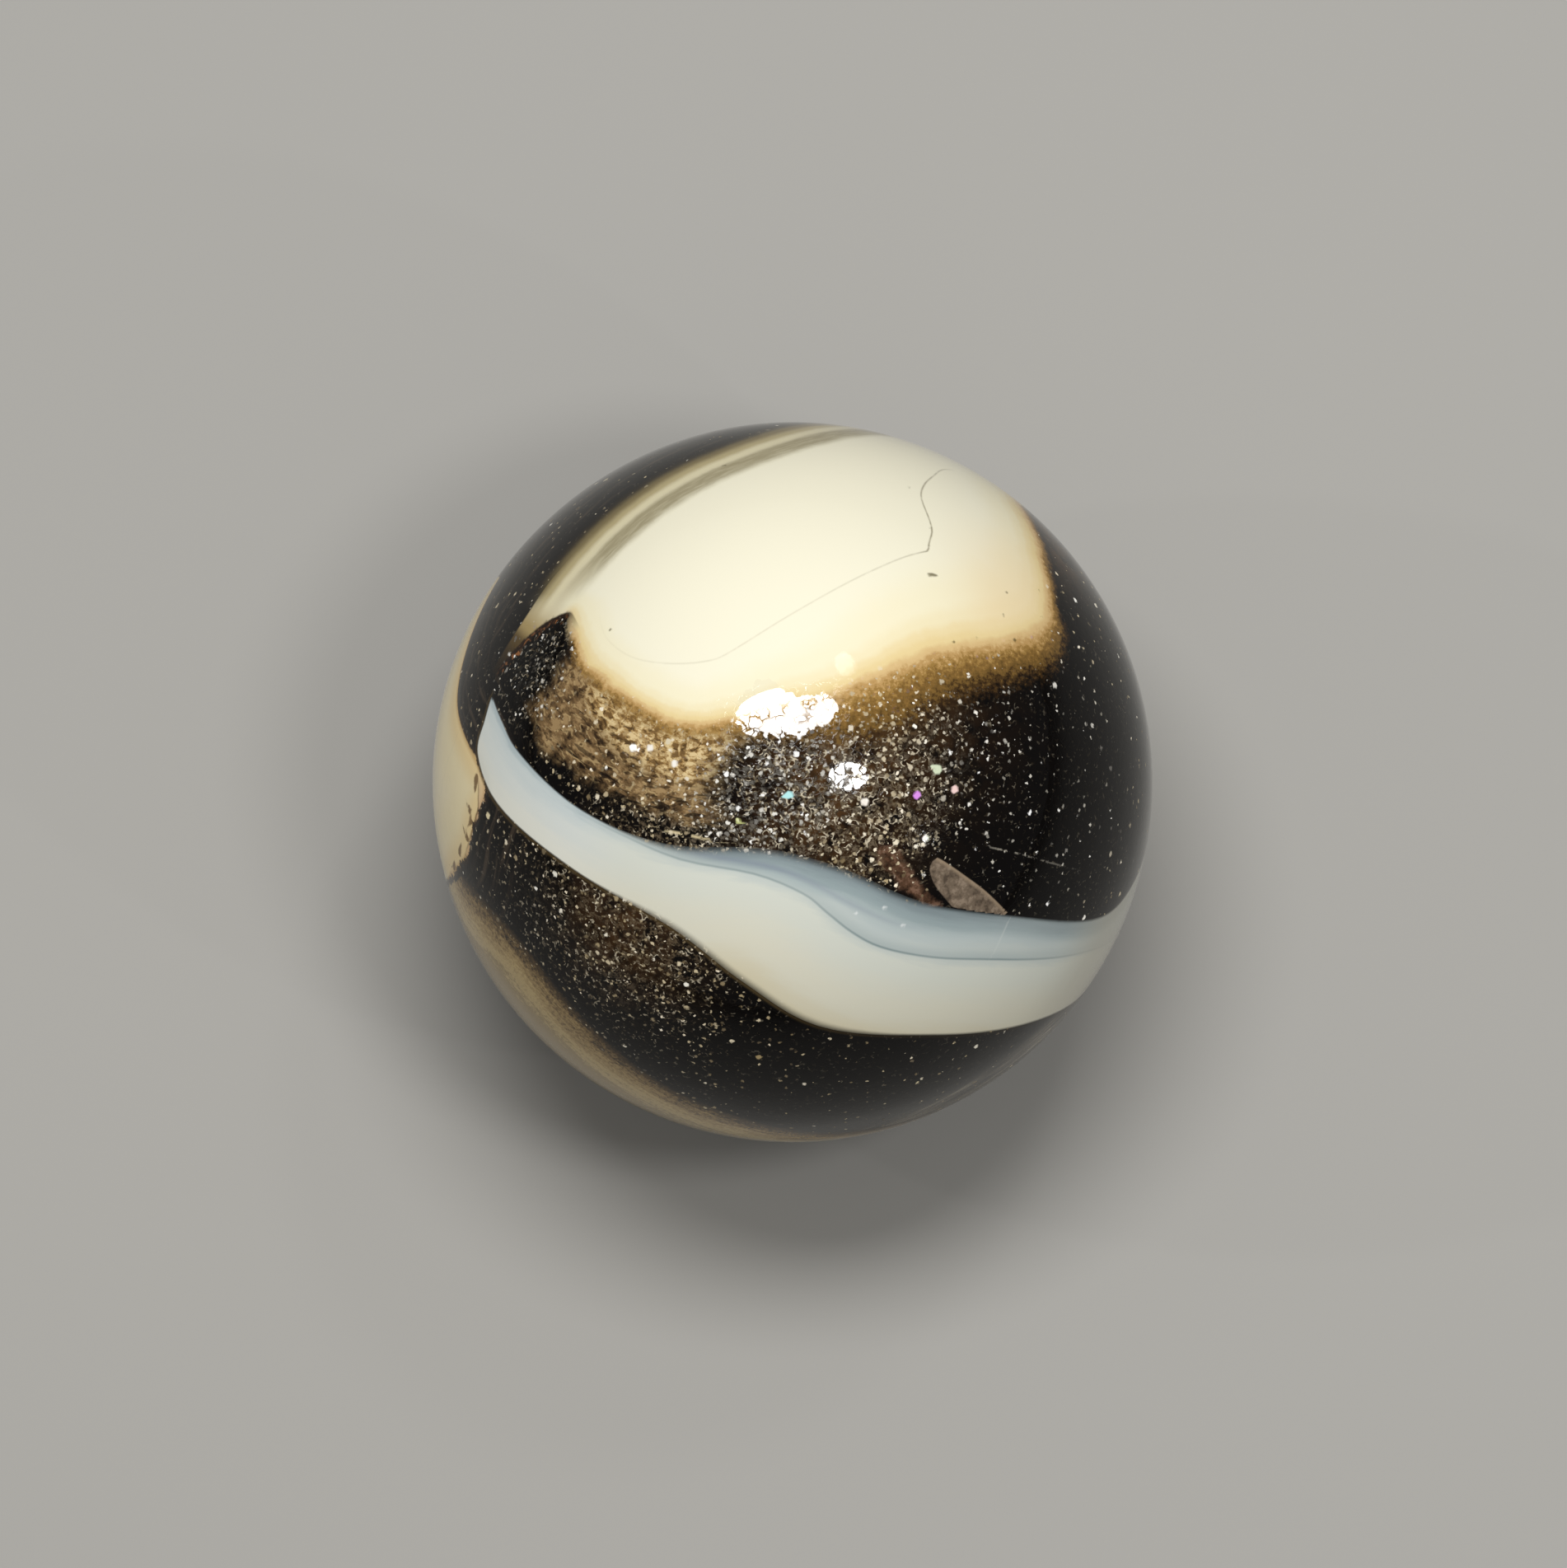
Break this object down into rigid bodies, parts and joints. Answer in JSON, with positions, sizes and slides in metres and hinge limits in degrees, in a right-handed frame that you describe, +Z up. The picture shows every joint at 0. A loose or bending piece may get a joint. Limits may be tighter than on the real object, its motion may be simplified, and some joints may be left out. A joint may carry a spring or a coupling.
{
  "type": "glass marble",
  "caption": "Opaque glass playing marble: a true ball of near-black glitter glass with a cream patch and a pale blue-white ribbon swirled through it.",
  "frame": {"origin": "centre of the ball", "axes": "+Z up, with the face of the ball that carries the cream patch and the ribbon turned up and a little towards -Y; +X to the right when looking along +Y"},
  "size_m": [0.016, 0.016, 0.016],
  "materials": {
    "swirl_glass": "fire-polished opaque glass, near-black with fine gold glitter, and flush streams of cream and blue-white"
  },
  "bodies": {
    "root": {"marble": "swirl_glass"}
  },
  "joints": []
}
